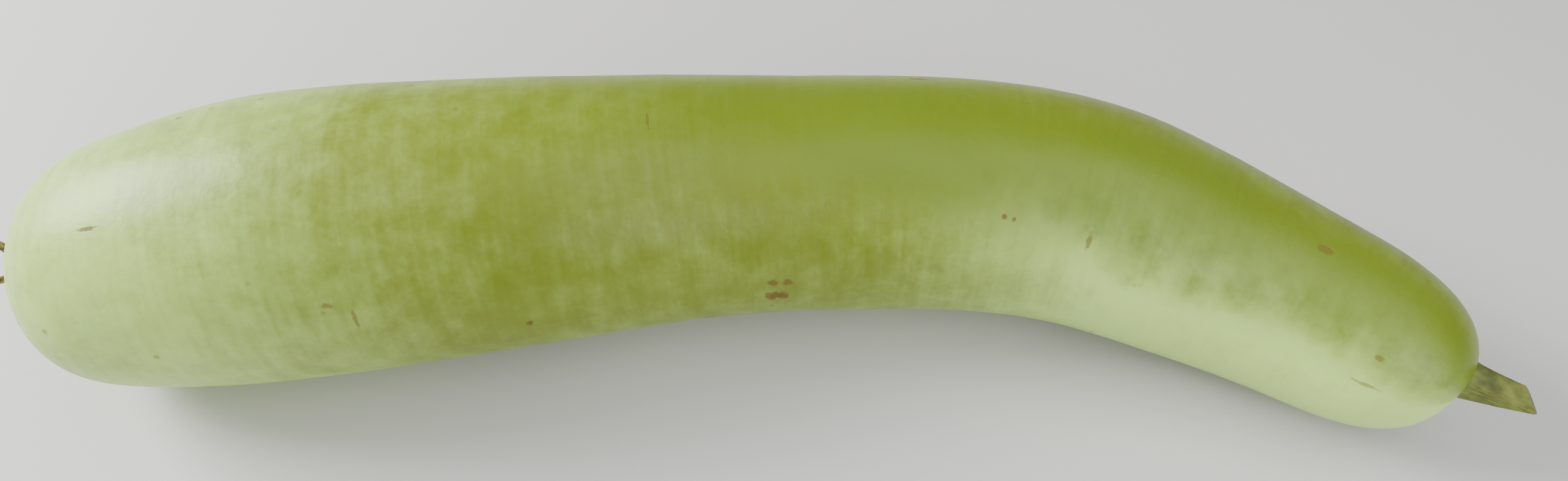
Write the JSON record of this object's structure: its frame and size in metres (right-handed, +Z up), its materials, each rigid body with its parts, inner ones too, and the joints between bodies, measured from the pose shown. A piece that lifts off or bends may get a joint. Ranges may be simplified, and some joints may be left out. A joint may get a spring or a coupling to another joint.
{
  "type": "bottle gourd",
  "caption": "Long pale-green bottle gourd lying on its side, bent towards its slim end, with a cut stalk stub and the dried remains of its flower.",
  "frame": {"origin": "middle of the box round the gourd as seen from above, on the surface that it rests on", "axes": "+X along the gourd towards its stalk, +Z up; the stalk end bends towards -Y"},
  "size_m": [0.4044, 0.1016, 0.0772],
  "materials": {
    "skin": "thin waxy rind with a soft satin shine, mottled pale green",
    "stalk": "matt, finely ribbed green stalk with a browned cut face",
    "dried_flower": "dry, crumpled and papery"
  },
  "bodies": {
    "root": {"fruit": "skin", "peduncle": "stalk", "blossom_scar": "dried_flower"}
  },
  "joints": []
}
